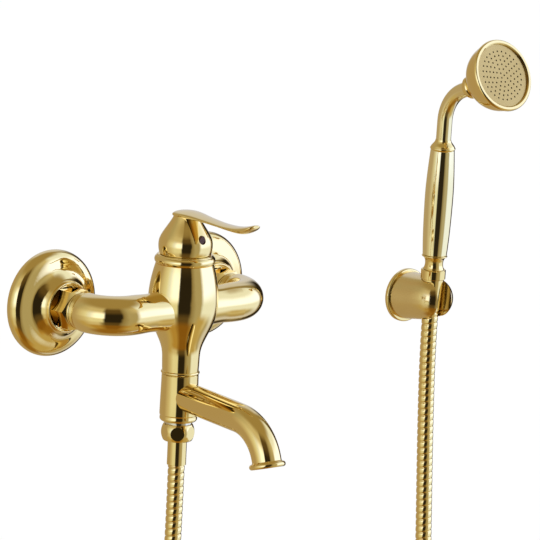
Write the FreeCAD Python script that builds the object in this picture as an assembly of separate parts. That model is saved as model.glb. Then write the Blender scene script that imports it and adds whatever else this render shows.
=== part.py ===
import FreeCAD, Part
import math
import os

# Wall-mounted tub mixer with a swivel spout, hose, hand shower and wall bracket.
# Millimetres. The wall is the plane y = 0, the mixer stands out towards -Y, +X is to the right
# seen from the front and +Z is up. The origin is midway between the two wall inlets.
# The pieces are drawn in the body frame, where z = 0 is the axis of the two arms, and are set
# down by the throw of the eccentric connectors when they are written.

V = FreeCAD.Vector
X = V(1, 0, 0)
Z = V(0, 0, 1)
OUT = V(0, -1, 0)
ORIGIN = V(0, 0, 0)

# Driving dimensions of the whole
inlet_spacing = 150.0          # between the centres of the two wall inlets
body_reach = 70.7              # wall to the axis of the body
eccentric_throw = 8.0          # how far a connector's body end is set below its wall end
slide_clearance = 0.2          # between pieces that slide or turn on each other
seat_clearance = 0.1           # between a piece and the seat that it is screwed or laid in

# Wall connection, measured outwards from the wall
stud_radius = 10.48            # G1/2 male thread, in the wall
stud_length = 16.0
connector_radius = 13.1        # G3/4 male thread of the body end
connector_flange = 4.0
connector_seat = 28.0          # wall to the sealing face of the connector
connector_bore = 7.0
union_washer = 2.0
union_flats = 29.0             # across the flats of the union nut
union_start = 20.5
union_end = 37.8
tail_flange = 3.0
tail_radius = 10.9             # neck of the body's tail inside the union nut
tail_ring_radius = 13.6
rose_radius = 41.3
rose_depth = 24.6
rose_neck = 18.9
rose_wall = 1.5
rose_web = 11.0                # wall to the back end of the sleeve that grips the connector
rose_bowl = 13.3               # wall to the foot of the neck

# Body
arm_radius = 14.7              # at the waist of an arm
arm_swell = 15.2               # at the elbow and at the barrel
arm_bore = 7.0
tail_run = 46.7                # wall to the start of the elbow's bend, past the union
arm_end = tail_run - 3.3       # wall to the rounded end of the elbow
elbow_bend = body_reach - tail_run
barrel_top = 35.5
barrel_belly = 27.0
barrel_belly_level = 7.0
barrel_mouth = 22.3
barrel_waist = 14.3
barrel_foot = -50.4
foot_bead = 14.9
chamber_radius = 9.2
chamber_top = -12.0

# Cartridge
cartridge_floor = 12.0
gasket_thickness = 1.2
cartridge_flange = 13.6
cartridge_radius = 11.2
cartridge_bore = 9.4
base_height = 19.0
disc_radius = 9.2
disc_thickness = 3.0
slider_radius = 6.4
carrier_neck = 7.4
finger_radius = 2.0
housing_height = 32.2
port_radius = 2.3
inlet_port_x = 3.9
inlet_port_y = -3.6
outlet_port_y = 2.6
nut_radius = 15.7
nut_height = 10.4
nut_hole = 11.5
pivot_level = 49.5             # the lever tilts about this point on the body axis
pin_radius = 1.5
stem_width = 4.8
post_width = 7.0
post_top = 66.0
lever_travel = 22.0            # degrees from shut to fully open

# Handle
trim_radius = 23.3
trim_height = 7.0
dome_radius = 20.8
dome_wall = 1.8
dome_gap = 0.4                 # between the dome and the mouth of the trim ring
dome_top = 72.4
dome_shoulder = 59.0
lever_reach = 79.6
lever_level = 72.4             # middle of the blade
screw_level = 56.4
screw_radius = 3.2

# Spout
collar_length = 35.8           # from the washer to the spout's foot
collar_radius = 14.7
collar_gap = 0.3               # between the rim of the collar and the foot of the body
core_radius = 9.6
core_bore = 6.0
core_socket = 9.5              # depth of the thread in the core's lower end
washer_thickness = 1.2
washer_radius = 12.0
spout_root = -66.7
spout_radius = 11.3
spout_bore = 8.6
spout_fall = 4.2               # degrees below level
spout_run = 70.4
spout_bend = 37.3
spout_mouth_lean = 16.0        # degrees outward from straight down
spout_tip_run = 5.5
lip_radius = 13.7
lip_height = 4.2
aerator_radius = 9.8
aerator_length = 9.0

# Hose ends
outlet_ring = 10.7
outlet_thread = 10.2
hose_nut_flats = 23.4
hose_nut_radius = 12.85        # of the ball that the nut is turned to
hose_nut_turn = 42.0           # degrees, one flat faces the viewer
hose_nut_height = 13.4
ferrule_radius = 7.4
ferrule_length = 19.0
hose_radius = 6.5
hose_bore = 4.2
rib_depth = 0.8

# Bracket and hand shower
bracket_x = 296.7
bracket_z = -31.9
plate_radius = 21.4
plate_thickness = 3.6
disc_fit = 15.2                # mounting disc inside the plate
boss_radius = 8.0
boss_length = 9.5
wall_screw_z = 11.0
wall_screw_length = 14.0       # in the wall
grub_level = 7.0
bracket_radius = 19.1
bracket_reach = 48.4
bracket_tilt = 5.0             # degrees that the block's nose rises
cup_reach = 32.0               # wall to the axis of the cup, at its seat
cup_rise = 19.7                # middle of the plate up to the cup's seat
cup_lean = 2.2                 # degrees that the hand shower leans away from the wall
slot_width = 14.8
cone_ring_radius = 9.9
cone_top_radius = 8.9
cone_tip_radius = 6.9
cone_length = 27.0
cone_collar = 6.8
shoulder_level = -10.4         # the cone's inner shoulder, above which it is threaded
upper_ferrule = 5.9
upper_flange = 7.3
handset_neck = 7.2
grip_length = 86.0
grip_radius = 11.3
grip_end_radius = 9.7
goose_radius = 6.0
goose_bend = 31.0
goose_rise = 14.9
goose_turn = 64.5              # degrees
goose_tail = 11.2
head_radius = 28.8
head_length = 35.9
head_neck_radius = 8.4
neck_nut_radius = 9.1
face_radius = 25.2             # spray plate
spray_rows = 6
spray_pitch = 3.5              # between the rings of holes
spray_hole_radius = 0.7
hose_ribs = 96
hose_stub = 30.0               # straight run at each end of the hose

# The hose's route between the lower ferrule and the upper one, chosen by hand, in the body frame
hose_route = [
    (-0.8, -70.7, -212.0), (-2.2, -70.3, -318.0), (1.0, -68.5, -424.0), (38.0, -64.0, -497.0),
    (104.0, -57.5, -539.0), (184.0, -49.0, -544.0), (257.0, -40.5, -508.0), (299.0, -35.5, -436.0),
    (303.4, -32.8, -336.0), (301.8, -31.0, -236.0), (298.4, -29.8, -137.0),
]

SIDES = {"left": -1, "right": 1}


# Drawing helpers

def outline_face(outline):
    """Face in the XZ plane. A step is (x, z), (x, z of a middle point, x, z) for an arc,
    or a list of points for a smooth curve."""
    edges = []
    here = V(outline[0][0], 0, outline[0][1])
    for step in outline[1:] + [outline[0]]:
        if isinstance(step, list):
            points = [here] + [V(x, 0, z) for x, z in step]
            curve = Part.BSplineCurve()
            curve.interpolate(points)
            edges.append(curve.toShape())
            here = points[-1]
            continue
        end = V(step[-2], 0, step[-1])
        if len(step) == 4:
            edges.append(Part.Arc(here, V(step[0], 0, step[1]), end).toShape())
        elif (end - here).Length > 1e-6:
            edges.append(Part.LineSegment(here, end).toShape())
        here = end
    return Part.Face(Part.Wire(edges))


def turned(outline):
    """Solid of revolution about Z from an outline of radii and heights."""
    return outline_face(outline).revolve(ORIGIN, Z, 360)


def tube(outer, inner, low, high):
    return turned([(inner, low), (outer, low), (outer, high), (inner, high)])


def rod(radius, low, high):
    return Part.makeCylinder(radius, high - low, V(0, 0, low))


def hexagon(flats, low, high):
    """Hexagonal bar about Z with one flat facing -Y."""
    corner = flats / math.sqrt(3)
    points = [V(corner * math.cos(math.radians(60 * i)), corner * math.sin(math.radians(60 * i)), low)
              for i in range(7)]
    return Part.Face(Part.makePolygon(points)).extrude(V(0, 0, high - low))


def block(x, y, low, high):
    """Box centred on Z."""
    return Part.makeBox(x, y, high - low, V(-x / 2, -y / 2, low))


def torus(major, minor, level):
    return Part.makeTorus(major, minor, V(0, 0, level))


def aimed(shape, direction, at):
    """The shape with its Z axis turned to a direction, then moved to a point."""
    placed = shape.copy()
    placed.Placement = FreeCAD.Placement(at, FreeCAD.Rotation(Z, direction)).multiply(placed.Placement)
    return placed


def disc(point, direction, radius):
    return Part.Face(Part.Wire(Part.Circle(point, direction, radius).toShape()))


def straight(point, direction, radius, length):
    """A straight tube length and the point where it ends."""
    return Part.makeCylinder(radius, length, point, direction), point + direction * length


def bend(point, direction, toward, radius, bend_radius, turn):
    """A bend of a tube, with its end point and end direction."""
    centre = point + toward * bend_radius
    axis = direction.cross(toward)
    solid = disc(point, direction, radius).revolve(centre, axis, turn)
    spin = FreeCAD.Rotation(axis, turn)
    return solid, centre + spin.multVec(point - centre), spin.multVec(direction)


def fused(shapes):
    return shapes[0].multiFuse(shapes[1:]).removeSplitter()


def cut(shape, tools):
    return shape.cut(tools)


def sphere_radius_at(radius, centre, level):
    return math.sqrt(radius ** 2 - (level - centre) ** 2)


# Places

def on_body(shape):
    return shape.translated(OUT * body_reach)


def at_inlet(shape, side):
    """A shape drawn outwards from the wall, set on the axis of one inlet."""
    return aimed(shape, OUT, V(side * inlet_spacing / 2, 0, 0))


cup_axis = V(0, -math.sin(math.radians(cup_lean)), math.cos(math.radians(cup_lean)))
seat_level = bracket_z + cup_rise
cup_seat = V(bracket_x, -cup_reach, seat_level)


def in_cup(shape):
    """A shape drawn up from the seat of the bracket's cup."""
    return aimed(shape, cup_axis, cup_seat)


# Wall connections

def connector(side):
    throw = V(0, eccentric_throw, 0)
    stub = rod(stud_radius, -stud_length, 0).translated(throw)
    body = rod(connector_radius, 0, connector_seat)
    shoulder = rod(connector_radius, 0, connector_flange).translated(throw)
    bridge = Part.makeBox(2 * connector_radius, eccentric_throw, connector_flange,
                          V(-connector_radius, 0, 0))
    solid = fused([body, stub, shoulder, bridge])
    ways = [rod(connector_bore, -stud_length - 1, connector_flange + 3).translated(throw),
            rod(connector_bore, connector_flange - 1.5, connector_seat + 1)]
    return at_inlet(cut(solid, ways), side)


def union_washer_ring(side):
    return at_inlet(tube(connector_radius - 0.8, connector_bore + 0.4, connector_seat,
                         connector_seat + union_washer), side)


def union_nut(side):
    thread = connector_radius + seat_clearance
    corner = union_flats / math.sqrt(3)
    chamfer = corner - union_flats / 2 + 0.6
    shape = turned([(0, union_start), (corner - chamfer, union_start),
                    (corner, union_start + chamfer * 0.6), (corner, union_end - chamfer * 0.6),
                    (corner - chamfer, union_end), (0, union_end)])
    nut = shape.common(hexagon(union_flats, union_start, union_end))
    lip = connector_seat + union_washer + tail_flange + seat_clearance
    return at_inlet(cut(nut, [rod(thread, union_start - 1, lip),
                              rod(tail_radius + slide_clearance, lip - 1, union_end + 1)]), side)


def rose(side):
    """Stepped bell that hides the hole in the wall, with a sleeve inside its neck."""
    rim = rose_radius
    neck = rose_neck
    bowl = rose_bowl
    depth = rose_depth
    sleeve = connector_radius + 2.1
    outside = [(rim, 3.6), (rim - 1.0, bowl - 5.9), (rim - 3.7, bowl - 3.0), (rim - 7.7, bowl - 1.3),
               (rim - 10.9, bowl - 0.6), (neck + 9.1, bowl), (neck + 6.3, bowl + 1.6),
               (neck + 3.9, bowl + 3.8), (neck + 1.9, bowl + 6.1), (neck + 0.6, depth - 1.2)]
    inside = [(neck + 2.8, bowl + 2.7), (neck + 5.4, bowl + 0.4), (neck + 8.6, bowl - 1.4),
              (rim - 8.1, bowl - 2.8), (rim - 4.4, bowl - 4.5), (rim - 2.4, bowl - 7.2), (rim - 2.0, 3.4)]
    step = union_start - 0.5
    back = [(neck - 1.2, step), (sleeve, step), (sleeve, rose_web), (sleeve + rose_wall, rose_web),
            (sleeve + rose_wall, bowl + 4.3)]
    return at_inlet(turned([
        (rim - 2.0, 0), (rim - 0.7, 0), outside, (neck + 0.5, depth - 0.3, neck - 0.5, depth),
        (neck - 1.2, depth - 0.5)] + back + [
        (neck + 1.4, bowl + 3.9), inside]), side)


def rose_ring(side):
    """Rubber ring that grips the connector inside the rose's sleeve."""
    gap = 2.1
    return at_inlet(tube(connector_radius + gap - 0.02, connector_radius + 0.02,
                         rose_web + 1.0, rose_web + 3.4), side)


# Body

def elbow_tail(extra, bore):
    """Right-hand elbow: rounded end, collar and tail towards the wall, or its bore."""
    end = V(inlet_spacing / 2, 0, 0)
    start_of_bend = body_reach - elbow_bend
    if bore:
        shape = rod(arm_bore, connector_seat, start_of_bend)
    else:
        flange = connector_seat + union_washer
        shape = turned([
            (0, flange), (connector_radius - 0.2, flange), (connector_radius - 0.2, flange + tail_flange),
            (tail_radius, flange + tail_flange), (tail_radius, union_end + 0.3),
            (tail_ring_radius, union_end + 0.3), (tail_ring_radius + 0.6, union_end + 1.4,
                                                  tail_ring_radius, union_end + 2.5),
            (tail_ring_radius - 1.0, arm_end), (arm_swell - 1.0, arm_end + 0.9, arm_swell, start_of_bend),
            (0, start_of_bend)])
    tail = aimed(shape, OUT, end)
    radius = arm_bore if bore else arm_swell
    turn, corner, heading = bend(end + OUT * start_of_bend, OUT, -X, radius, elbow_bend, 90)
    return [tail, turn] + extra


def arm_pair(bore):
    """Both arms, from the unions to the barrel, or the two bores through them."""
    straight_end = inlet_spacing / 2 - elbow_bend
    axis_point = OUT * body_reach
    if bore:
        inner_end = 3.6
        run = aimed(rod(arm_bore, inner_end, straight_end), X, axis_point)
    else:
        run = aimed(turned([
            (0, 0), (arm_swell + 0.5, 0), (arm_swell + 0.5, straight_end * 0.24),
            [(arm_swell + 0.35, straight_end * 0.37), (arm_radius + 0.3, straight_end * 0.55),
             (arm_radius, straight_end * 0.70), (arm_radius + 0.3, straight_end * 0.84),
             (arm_swell - 0.04, straight_end * 0.93), (arm_swell, straight_end)],
            (0, straight_end)]), X, axis_point)
    right = elbow_tail([run], bore)
    return right + [shape.mirror(ORIGIN, X) for shape in right]


def mixer_body():
    """The one-piece casting: vase-shaped barrel with two arms that bend back to the wall."""
    barrel = on_body(turned([
        (0, barrel_foot), (foot_bead - 0.9, barrel_foot),
        (foot_bead, barrel_foot + 1.2, foot_bead - 0.9, barrel_foot + 2.4),
        [(barrel_waist, barrel_foot + 8.4), (barrel_waist + 0.9, -31.0), (barrel_waist + 4.3, -22.0),
         (barrel_belly - 3.6, -11.5), (barrel_belly - 0.7, -1.5), (barrel_belly, barrel_belly_level),
         (barrel_belly - 0.9, 18.5), (barrel_belly - 2.6, 27.5), (barrel_mouth, barrel_top)],
        (0, barrel_top)]))
    casting = fused([barrel] + arm_pair(False))
    nut_seat = cartridge_floor + gasket_thickness + base_height / 2
    hollows = arm_pair(True)
    hollows += [on_body(shape) for shape in (
        rod(cartridge_flange + seat_clearance, cartridge_floor, barrel_top + 1),
        rod(nut_radius + seat_clearance, nut_seat, barrel_top + 1),
        rod(chamber_radius, barrel_foot - 1, chamber_top),
        rod(nut_radius + 1.6, barrel_top - 1.9, barrel_top + 1),
        rod(port_radius, 0, cartridge_floor + 1).translated(V(inlet_port_x, inlet_port_y, 0)),
        rod(port_radius, 0, cartridge_floor + 1).translated(V(-inlet_port_x, inlet_port_y, 0)),
        rod(port_radius, chamber_top - 1, cartridge_floor + 1).translated(V(0, outlet_port_y, 0)))]
    return cut(casting, hollows)


# Cartridge, drawn about the body axis

gasket_level = cartridge_floor
base_level = cartridge_floor + gasket_thickness
flange_level = base_level + 6.0
disc_level = base_level + base_height
slider_level = disc_level + disc_thickness
carrier_level = slider_level + disc_thickness
finger_reach = pivot_level - carrier_level + 0.4
slider_offset = finger_reach * math.sin(math.radians(lever_travel / 2))
nut_level = flange_level + 4.0


def ports(low, high):
    places = [(inlet_port_x, inlet_port_y), (-inlet_port_x, inlet_port_y), (0, outlet_port_y)]
    return [rod(port_radius, low, high).translated(V(x, y, 0)) for x, y in places]


def base_gasket():
    plate = rod(cartridge_flange - 0.4, gasket_level, base_level)
    return on_body(cut(plate, ports(gasket_level - 1, base_level + 1)))


def cartridge_base():
    solid = fused([rod(cartridge_flange, base_level, flange_level),
                   rod(cartridge_bore - seat_clearance, flange_level, disc_level)])
    return on_body(cut(solid, ports(base_level - 1, disc_level + 1)))


def fixed_disc():
    plate = rod(disc_radius, disc_level, slider_level)
    key = block(3.0, 3.0, disc_level - 1, slider_level + 1).translated(V(0, disc_radius, 0))
    return on_body(cut(plate, ports(disc_level - 1, slider_level + 1) + [key]))


def moving_disc():
    """Ceramic disc with a mixing pocket below and a slot on top for the lever's finger."""
    plate = rod(slider_radius, slider_level, carrier_level)
    pocket = block(8.4, 7.2, slider_level - 1, slider_level + 1.1).translated(V(0, 0.4, 0))
    slot = block(4.5, 4.6, carrier_level - 1.4, carrier_level + 1)
    return on_body(cut(plate, [pocket, slot])).translated(V(0, slider_offset, 0))


def cartridge_housing():
    lip_level = cartridge_floor + housing_height - 2.0
    top = cartridge_floor + housing_height
    return on_body(turned([
        (cartridge_bore, flange_level), (cartridge_flange, flange_level),
        (cartridge_flange, nut_level), (cartridge_radius, nut_level),
        (cartridge_radius, top - 0.8), (cartridge_radius - 0.8, top), (carrier_neck + slide_clearance, top),
        (carrier_neck + slide_clearance, lip_level), (cartridge_bore, lip_level)]))


def carrier():
    """Rotor of the cartridge: flange, neck and two cheeks that hold the lever's pin."""
    lip_level = cartridge_floor + housing_height - 2.0
    top = cartridge_floor + housing_height
    cheek_top = pivot_level + 3.2
    solid = fused([
        rod(disc_radius, carrier_level + 0.2, lip_level - slide_clearance),
        rod(carrier_neck, carrier_level + 0.2, top + 1.0),
        rod(carrier_neck, top, cheek_top).common(block(16, 8.6, top, cheek_top))])
    slot = block(stem_width + 0.6, 11.0, carrier_level - 1, pivot_level + 5)
    return on_body(cut(solid, [slot, across_pivot(pin_radius, 20)]))


def across_pivot(radius, length):
    return Part.makeCylinder(radius, length, V(-length / 2, 0, pivot_level), X)


def pivot_pin():
    return on_body(across_pivot(pin_radius - 0.01, 2 * carrier_neck - 2.0))


def lever_stem():
    """Rocker of the cartridge: finger below the pin, eye on it and square post above."""
    eye = Part.makeCylinder(4.0, stem_width, V(-stem_width / 2, 0, pivot_level), X)
    finger = Part.makeCylinder(finger_radius, pivot_level - carrier_level - 0.4 + 1.2,
                               V(0, 0, carrier_level - 0.8))
    finger.rotate(V(0, 0, pivot_level), X, lever_travel / 2)
    neck = block(stem_width, 6.4, pivot_level, pivot_level + 5.8)
    post = block(post_width, post_width, pivot_level + 5.4, post_top)
    solid = fused([eye, finger, neck, post])
    return on_body(cut(solid, [across_pivot(pin_radius + 0.05, 20)]))


def retaining_nut():
    top = nut_level + nut_height
    ring = tube(nut_radius, nut_hole, nut_level, top)
    slots = [block(50, 3.2, top - 2.4, top + 1).common(tube(nut_radius + 1, nut_hole - 1, top - 3, top + 1))]
    return on_body(cut(ring, slots))


def trim_ring():
    """Rolled ring on top of the barrel, with a ball-shaped mouth that the dome turns in."""
    top = barrel_top + trim_height
    mouth = dome_radius + dome_gap
    low = sphere_radius_at(mouth, pivot_level, barrel_top + 0.1)
    middle = sphere_radius_at(mouth, pivot_level, barrel_top + trim_height / 2)
    high = sphere_radius_at(mouth, pivot_level, top)
    spigot = nut_radius + 1.5
    return on_body(turned([
        (low, barrel_top - 1.8), (spigot, barrel_top - 1.8), (spigot, barrel_top),
        (trim_radius - 1.4, barrel_top), (trim_radius + 0.1, barrel_top + trim_height * 0.45,
                                          trim_radius - 1.6, top - 0.9),
        (trim_radius - 2.4, top, high, top), (middle, barrel_top + trim_height / 2, low, barrel_top + 0.1)]))


# Handle

def lever_sections():
    """Stations of the blade: distance from the body axis, level, half width, half thickness."""
    level = lever_level
    reach = lever_reach
    return [(-10.6, level + 0.4, 0.9, 0.35), (-10.0, level + 0.4, 4.2, 1.5), (-8.2, level + 0.6, 7.6, 2.3),
            (-4.0, level + 0.9, 10.0, 2.9), (3.0, level + 1.2, 10.6, 3.0), (11.0, level + 1.1, 9.6, 2.6),
            (reach * 0.25, level + 0.7, 8.0, 2.1), (reach * 0.38, level + 0.1, 6.9, 1.8),
            (reach * 0.51, level - 0.5, 6.5, 1.7), (reach * 0.64, level - 0.8, 6.7, 2.0),
            (reach - 18.5, level - 0.6, 7.0, 2.6), (reach - 12.0, level + 0.2, 7.1, 2.9),
            (reach - 6.5, level + 1.7, 6.8, 2.7), (reach - 2.6, level + 3.3, 6.0, 2.2),
            (reach - 0.7, level + 4.2, 4.4, 1.6), (reach, level + 4.6, 1.6, 0.7)]


def lever_blade():
    """Cast lever, broad over the dome, with a thick tip that curls up."""
    wires = []
    for out, level, half_width, half_thickness in lever_sections():
        centre = V(0, -out, level)
        ellipse = Part.Ellipse(centre + V(half_width, 0, 0), centre + V(0, 0, half_thickness), centre)
        wires.append(Part.Wire(ellipse.toShape()))
    return Part.makeLoft(wires, True, False)


def handle_pieces():
    """Dome and blade. The dome's top is cut to the underside of the blade."""
    blade = lever_blade()
    rim = barrel_top + trim_height - 0.5
    inner = dome_radius - dome_wall
    ceiling = pivot_level + 6.0

    def on_ball(radius, degrees):
        angle = math.radians(degrees)
        return radius * math.cos(angle), pivot_level + radius * math.sin(angle)

    shoulder = on_ball(dome_radius, 10)
    dome = turned([
        (sphere_radius_at(inner, pivot_level, rim), rim),
        (sphere_radius_at(dome_radius, pivot_level, rim), rim),
        on_ball(dome_radius, -6) + shoulder,
        [(dome_radius - 1.4, dome_shoulder - 2.8), (dome_radius - 3.4, dome_shoulder + 0.8),
         (dome_radius - 6.0, dome_shoulder + 4.8), (dome_radius - 8.4, dome_top - 4.9),
         (dome_radius - 10.4, dome_top - 1.4), (dome_radius - 11.8, dome_top + 2.4)],
        (0, dome_top + 2.4), (0, ceiling), (sphere_radius_at(inner, pivot_level, ceiling), ceiling),
        on_ball(inner, -3) + (sphere_radius_at(inner, pivot_level, rim), rim)])
    socket = block(post_width + 2 * seat_clearance, post_width + 2 * seat_clearance, ceiling - 1,
                   post_top + 0.2)
    screw_way = Part.makeCylinder(screw_radius + seat_clearance, 30, V(0, 0, screw_level), OUT)
    spigot_way = rod(3.5 + seat_clearance, post_top + 0.6, dome_top + 3)
    dome = cut(dome, [blade, socket, screw_way, spigot_way])
    spigot = rod(3.5, post_top + 0.8, dome_top + 1.0)
    blade = fused([blade, spigot])
    return on_body(dome), on_body(blade)


def set_screw():
    start = V(0, -post_width / 2, screw_level)
    screw = Part.makeCylinder(screw_radius, 7.0, start, OUT)
    key = hexagon(2.5, 0, 3)
    return on_body(cut(screw, [aimed(key, OUT, start + OUT * 4.5)]))


def index_plug():
    """Dark red cap in the mouth of the set screw's hole."""
    start = V(0, -post_width / 2 - 8.8, screw_level)
    cap = turned([(0, 0), (screw_radius, 0), (screw_radius, 6.4), (screw_radius - 0.6, 7.0), (0, 7.0)])
    return on_body(aimed(cap, OUT, start))


# Spout

collar_top = barrel_foot - washer_thickness - 0.2
collar_foot = collar_top - collar_length
nut_top = collar_foot - 1.8
nut_foot = nut_top - hose_nut_height
thread_end = nut_top - 7.8
spout_out = V(0, -math.cos(math.radians(spout_fall)), -math.sin(math.radians(spout_fall)))
spout_down = V(0, math.sin(math.radians(spout_fall)), -math.cos(math.radians(spout_fall)))


def spout_line(radius):
    """The spout's tube about the body axis: run, bend and mouth, with its end and heading."""
    start = V(0, 0, spout_root)
    run, corner = straight(start, spout_out, radius, spout_run)
    turn = 90 - spout_fall - spout_mouth_lean
    curve, bend_end, heading = bend(corner, spout_out, spout_down, radius, spout_bend, turn)
    mouth, tip = straight(bend_end, heading, radius, spout_tip_run)
    return [run, curve, mouth], tip, heading


def spout():
    """Swivel spout: collar, drooping tube and a rolled lip."""
    rim = barrel_foot - collar_gap
    collar = turned([
        (0, collar_foot), (collar_radius - 2.4, collar_foot),
        (collar_radius - 0.8, collar_foot + 0.9, collar_radius - 0.3, collar_foot + 3.2),
        (collar_radius - 0.4, collar_foot + 4.6), (collar_radius, collar_foot + 5.6),
        [(collar_radius - 0.1, collar_foot + 14), (collar_radius - 0.3, collar_foot + 24),
         (collar_radius - 0.5, rim - 0.5)],
        (collar_radius - 0.9, rim), (washer_radius + slide_clearance, rim),
        (washer_radius + slide_clearance, collar_top), (0, collar_top)])
    tubes, tip, heading = spout_line(spout_radius)
    lip = turned([
        (0, -lip_height - 1.4), (spout_radius - 0.6, -lip_height - 1.4), (spout_radius + 0.8, -lip_height),
        (lip_radius - 1.2, -lip_height), (lip_radius + 0.3, -lip_height / 2, lip_radius - 1.0, 0),
        (0, 0)])
    outside = fused([collar] + tubes + [aimed(lip, heading, tip)])
    bores, bore_end, bore_heading = spout_line(spout_bore)
    waterway = fused(bores)
    washer_seat = rod(core_radius + 3.0, collar_foot - 1, collar_foot + 3.4)
    hollows = [waterway, rod(core_radius + slide_clearance, collar_foot - 1, collar_top + 1),
               rod(core_radius + 1.6, spout_root - 7.5, spout_root + 7.5), washer_seat,
               aimed(rod(aerator_radius + seat_clearance, -aerator_length, 1), heading, tip)]
    return on_body(cut(outside, hollows))


def aerator_pieces():
    tubes, tip, heading = spout_line(spout_radius)
    housing = turned([
        (aerator_radius - 1.4, -aerator_length + 0.4), (aerator_radius, -aerator_length + 0.4),
        (aerator_radius, -0.6), (aerator_radius - 1.8, -0.6), (aerator_radius - 1.8, -2.2),
        (aerator_radius - 1.4, -2.4)])
    insert_radius = aerator_radius - 1.5
    insert = rod(insert_radius, -aerator_length + 0.6, -2.5)
    holes = [rod(0.8, -aerator_length, 0).translated(V(r * math.cos(a), r * math.sin(a), 0))
             for r, count in ((2.6, 6), (5.6, 12)) for a in [2 * math.pi * i / count for i in range(count)]]
    insert = cut(insert, holes)
    return on_body(aimed(housing, heading, tip)), on_body(aimed(insert, heading, tip))


def spout_core():
    """Fixed ported tube that the spout turns on. It is screwed up into the body."""
    foot = collar_foot + 2.8
    low_groove = foot + 5.0
    high_groove = collar_top - 5.4
    core = turned([
        (core_bore, foot), (core_radius, foot), (core_radius, low_groove - 1.0),
        (core_radius - 1.4, low_groove - 1.0), (core_radius - 1.4, low_groove + 1.0),
        (core_radius, low_groove + 1.0), (core_radius, high_groove - 1.0),
        (core_radius - 1.4, high_groove - 1.0), (core_radius - 1.4, high_groove + 1.0),
        (core_radius, high_groove + 1.0), (core_radius, barrel_foot),
        (chamber_radius - seat_clearance, barrel_foot),
        (chamber_radius - seat_clearance, barrel_foot + 12), (core_bore, barrel_foot + 12)])
    port = Part.makeCylinder(4.4, 12, V(0, 0, spout_root), OUT)
    socket = rod(core_bore + 1.6, foot - 1, foot + core_socket)
    return on_body(cut(core, [port, socket]))


def spout_seals():
    """Two O-rings in the grooves of the core."""
    foot = collar_foot + 2.8
    rings = [torus(core_radius - 0.62, 0.76, level) for level in (foot + 5.0, collar_top - 5.4)]
    return on_body(Part.makeCompound(rings))


def slip_washer_top():
    return on_body(tube(washer_radius, core_radius + 0.1, collar_top + 0.1, barrel_foot))


def slip_washer_foot():
    return on_body(tube(core_radius + 2.8, core_radius + 0.1, collar_foot + 2.1, collar_foot + 3.3))


def outlet_nipple():
    """Lower outlet: retains the spout, shows as a bright ring and takes the hose nut."""
    flange_low = collar_foot + 0.6
    ring_low = nut_top + 0.2
    return on_body(turned([
        (core_bore - 1.2, thread_end), (outlet_thread, thread_end), (outlet_thread, ring_low),
        (outlet_ring, ring_low), (outlet_ring, ring_low + 1.4), (outlet_ring - 1.2, ring_low + 1.6),
        (outlet_ring - 1.2, flange_low), (core_radius + 2.6, flange_low),
        (core_radius + 2.6, collar_foot + 2.0), (core_radius - 0.2, collar_foot + 2.0),
        (core_radius - 0.2, collar_foot + 2.7), (core_bore + 1.5, collar_foot + 2.7),
        (core_bore + 1.5, collar_foot + 10.0), (core_bore - 1.2, collar_foot + 10.0)]))


# Hose and its ends

def hose_nut():
    middle = (nut_foot + nut_top) / 2
    edge = sphere_radius_at(hose_nut_radius, middle, nut_top - 0.5)
    shape = turned([
        (0, nut_foot), (edge - 0.6, nut_foot), (edge, nut_foot + 0.5),
        (hose_nut_radius, middle, edge, nut_top - 0.5), (edge - 0.6, nut_top), (0, nut_top)])
    bar = hexagon(hose_nut_flats, nut_foot, nut_top)
    bar.rotate(ORIGIN, Z, -hose_nut_turn)
    nut = shape.common(bar)
    return on_body(cut(nut, [rod(outlet_thread + seat_clearance, nut_foot + 2.2, nut_top + 1),
                             rod(ferrule_radius + slide_clearance, nut_foot - 1, nut_foot + 3)]))


def hose_washer_lower():
    return on_body(tube(outlet_thread - 0.6, hose_bore + 0.6, nut_foot + 3.9, thread_end))


def ferrule(radius, length, flange):
    """Crimped sleeve: the hose enters its lower end and the flange sits in the nut."""
    return turned([
        (hose_bore, 0), (radius, 0), (radius, length), (radius - 0.4, length + 0.4),
        (radius - 0.4, length + 2.3), (flange, length + 2.3), (flange, length + 3.8),
        (hose_bore, length + 3.8)])


def ferrule_lower():
    return on_body(ferrule(ferrule_radius, ferrule_length, outlet_thread - 0.4).translated(
        V(0, 0, nut_foot - ferrule_length)))


def ferrule_upper():
    """Sleeve on the hose's upper end, which the cone turns on."""
    length = cone_length + shoulder_level - 2.1
    return in_cup(ferrule(upper_ferrule, length, upper_flange).translated(V(0, 0, -cone_length)))


def hose_cone():
    """Conical swivel nut that stands in the cup and is screwed to the hand shower."""
    top = cone_collar
    bore = upper_ferrule + slide_clearance
    thread = upper_flange + slide_clearance
    return in_cup(turned([
        (bore, -cone_length), (cone_tip_radius - 0.4, -cone_length), (cone_tip_radius, -cone_length + 0.6),
        (cone_top_radius, -1.6), (cone_top_radius, -0.9), (cone_ring_radius - 0.4, -0.9),
        (cone_ring_radius, -0.5), (cone_ring_radius, top - 0.6), (cone_ring_radius - 0.6, top),
        (thread, top), (thread, shoulder_level), (bore, shoulder_level)]))


tail_level = shoulder_level + 0.2 + 1.5 + 1.7


def hose_washer_upper():
    return in_cup(tube(upper_flange, hose_bore + 0.6, tail_level - 1.7, tail_level))


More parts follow.
